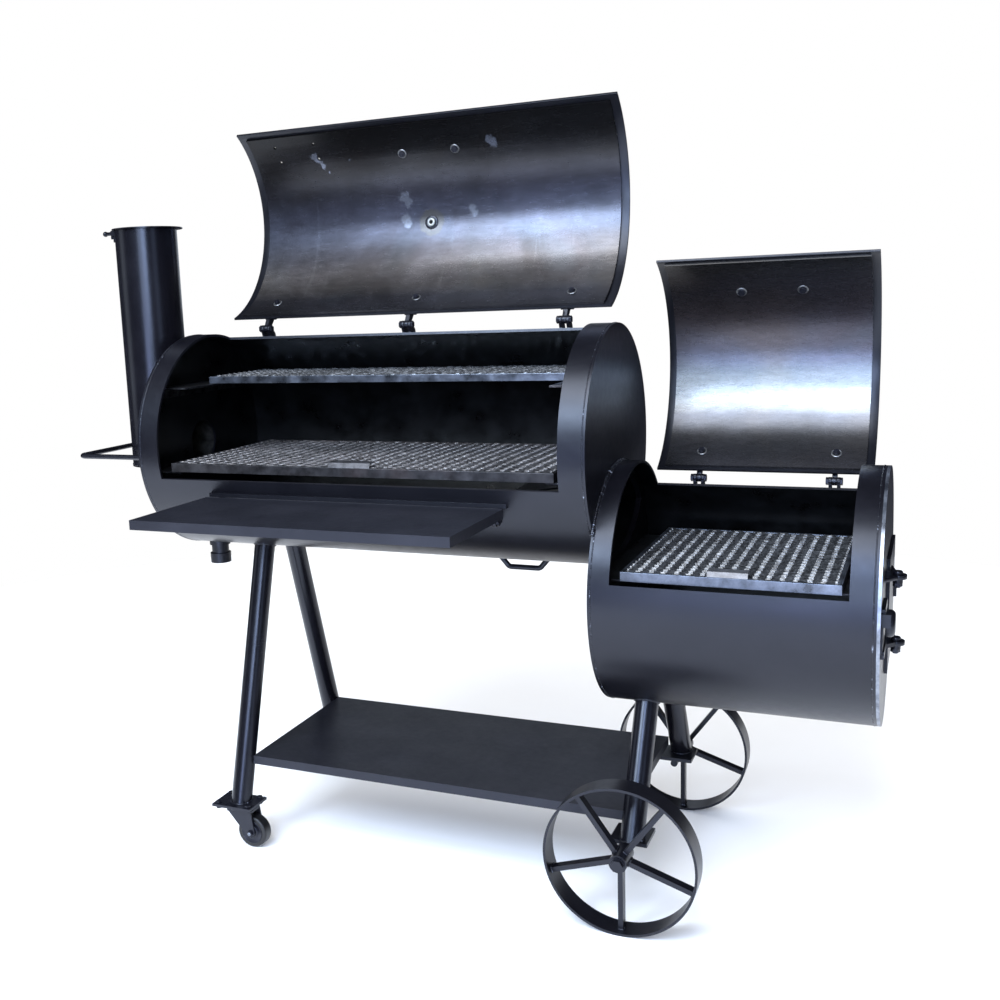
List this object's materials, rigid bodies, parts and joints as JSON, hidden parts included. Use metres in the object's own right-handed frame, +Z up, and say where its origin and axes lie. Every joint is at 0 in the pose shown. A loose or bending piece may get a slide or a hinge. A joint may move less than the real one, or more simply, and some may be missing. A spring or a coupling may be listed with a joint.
{
  "type": "offset smoker",
  "caption": "Horizontal barrel cooking chamber with a lower offset firebox, curved lift doors, smokestack, folding shelf, wagon wheels and swivel casters.",
  "frame": {"origin": "on the floor, at the centre of the footprint of the whole object with both curved doors open", "axes": "+X along the barrels from the smokestack end to the firebox end, +Y from the door side to the back, +Z up"},
  "size_m": [1.8695, 0.8655, 1.6672],
  "materials": {
    "black_paint": "satin high-heat black paint",
    "door_steel": "dark oiled steel, brushed along the barrel, sooty",
    "raw_steel": "bare expanded steel, oiled and lightly rusted",
    "sooted_steel": "matt, sooted",
    "zinc_hardware": "dull zinc, sooted",
    "caster_steel": "black coated pressed steel",
    "caster_rubber": "hard black rubber"
  },
  "bodies": {
    "frame": {"chamber_shell": "black_paint", "chamber_end_left": "black_paint", "chamber_end_right": "black_paint", "firebox_shell": "black_paint", "firebox_end_left": "black_paint", "firebox_end_right": "black_paint", "firebox_heat_shield": "black_paint", "throat_baffle": "sooted_steel", "smokestack": "black_paint", "stack_base": "black_paint", "stack_stub": "black_paint", "stack_cap_lugs": "black_paint", "drain_pipe": "black_paint", "end_handle": "black_paint", "under_handle": "black_paint", "leg_left_front": "black_paint", "leg_left_rear": "black_paint", "leg_right_front": "black_paint", "leg_right_rear": "black_paint", "caster_plates": "caster_steel", "caster_plate_bolts": "zinc_hardware", "axle_plates": "black_paint", "wheel_axles": "black_paint", "bottom_shelf": "black_paint", "shelf_brackets": "black_paint", "main_door_hinge_lugs": "black_paint", "firebox_lid_hinge_lugs": "black_paint", "hinge_pins": "black_paint", "grate_rails": "sooted_steel", "fire_grate": "sooted_steel", "end_door_lugs": "black_paint", "pivot_bolts": "black_paint", "damper_guides": "black_paint"},
    "main_door": {"main_door_panel": "door_steel", "main_door_rim": "black_paint", "main_door_hinge_straps": "black_paint", "main_door_bolts": "zinc_hardware", "main_door_handle": "black_paint", "thermometer_bung": "zinc_hardware"},
    "firebox_lid": {"firebox_lid_panel": "door_steel", "firebox_lid_rim": "black_paint", "firebox_lid_hinge_straps": "black_paint", "firebox_lid_bolts": "zinc_hardware", "firebox_lid_handle": "black_paint"},
    "end_door": {"end_door": "black_paint"},
    "damper": {"damper_slide": "black_paint"},
    "stack_cap": {"stack_cap": "black_paint"},
    "front_shelf": {"front_shelf": "black_paint"},
    "lower_grate": {"lower_grate_frame": "raw_steel", "lower_grate_mesh": "raw_steel"},
    "upper_grate": {"upper_grate_frame": "raw_steel", "upper_grate_mesh": "raw_steel"},
    "firebox_grate": {"firebox_grate_frame": "raw_steel", "firebox_grate_mesh": "raw_steel"},
    "wagon_wheel_front": {"wagon_wheel_front": "black_paint"},
    "wagon_wheel_rear": {"wagon_wheel_rear": "black_paint"},
    "caster_fork_front": {"caster_fork_front": "caster_steel"},
    "caster_fork_rear": {"caster_fork_rear": "caster_steel"},
    "caster_wheel_front": {"caster_wheel_front": "caster_rubber"},
    "caster_wheel_rear": {"caster_wheel_rear": "caster_rubber"}
  },
  "joints": [
    {"name": "main_door_hinge", "type": "hinge", "parent": "frame", "child": "main_door", "pos_m": [-0.1615, 0.19053, 1.18914], "axis": [1, 0, 0], "range_deg": [0, 143]},
    {"name": "firebox_lid_hinge", "type": "hinge", "parent": "frame", "child": "firebox_lid", "pos_m": [0.6345, 0.2912, 0.82949], "axis": [1, 0, 0], "range_deg": [0, 107]},
    {"name": "end_door_hinge", "type": "hinge", "parent": "frame", "child": "end_door", "pos_m": [0.9145, -0.009, 0.64], "axis": [0, 0, 1], "range_deg": [-100, 0]},
    {"name": "damper_slide", "type": "slide", "parent": "frame", "child": "damper", "axis": [0, 1, 0], "range_m": [-0.045, 0]},
    {"name": "stack_cap_hinge", "type": "hinge", "parent": "frame", "child": "stack_cap", "pos_m": [-0.9005, 0.091, 1.437], "axis": [0, -1, 0], "range_deg": [0, 95]},
    {"name": "front_shelf_fold", "type": "hinge", "parent": "frame", "child": "front_shelf", "pos_m": [-0.1595, -0.171, 0.806], "axis": [1, 0, 0], "range_deg": [0, 90]},
    {"name": "lower_grate_slide", "type": "slide", "parent": "frame", "child": "lower_grate", "axis": [0, 1, 0], "range_m": [-0.3, 0]},
    {"name": "upper_grate_slide", "type": "slide", "parent": "frame", "child": "upper_grate", "axis": [0, 1, 0], "range_m": [-0.2, 0]},
    {"name": "firebox_grate_slide", "type": "slide", "parent": "frame", "child": "firebox_grate", "axis": [0, 1, 0], "range_m": [-0.3, 0]},
    {"name": "wagon_wheel_front_spin", "type": "hinge", "parent": "frame", "child": "wagon_wheel_front", "pos_m": [0.4385, -0.21, 0.1527], "axis": [0, 1, 0], "continuous": true},
    {"name": "caster_front_swivel", "type": "hinge", "parent": "frame", "child": "caster_fork_front", "pos_m": [-0.4875, -0.149, 0.095], "axis": [0, 0, 1], "continuous": true},
    {"name": "caster_front_spin", "type": "hinge", "parent": "caster_fork_front", "child": "caster_wheel_front", "pos_m": [-0.4495, -0.149, 0.0375], "axis": [0, 1, 0], "continuous": true},
    {"name": "wagon_wheel_rear_spin", "type": "hinge", "parent": "frame", "child": "wagon_wheel_rear", "pos_m": [0.4385, 0.392, 0.1527], "axis": [0, 1, 0], "continuous": true},
    {"name": "caster_rear_swivel", "type": "hinge", "parent": "frame", "child": "caster_fork_rear", "pos_m": [-0.4875, 0.331, 0.095], "axis": [0, 0, 1], "continuous": true},
    {"name": "caster_rear_spin", "type": "hinge", "parent": "caster_fork_rear", "child": "caster_wheel_rear", "pos_m": [-0.4495, 0.331, 0.0375], "axis": [0, 1, 0], "continuous": true}
  ]
}
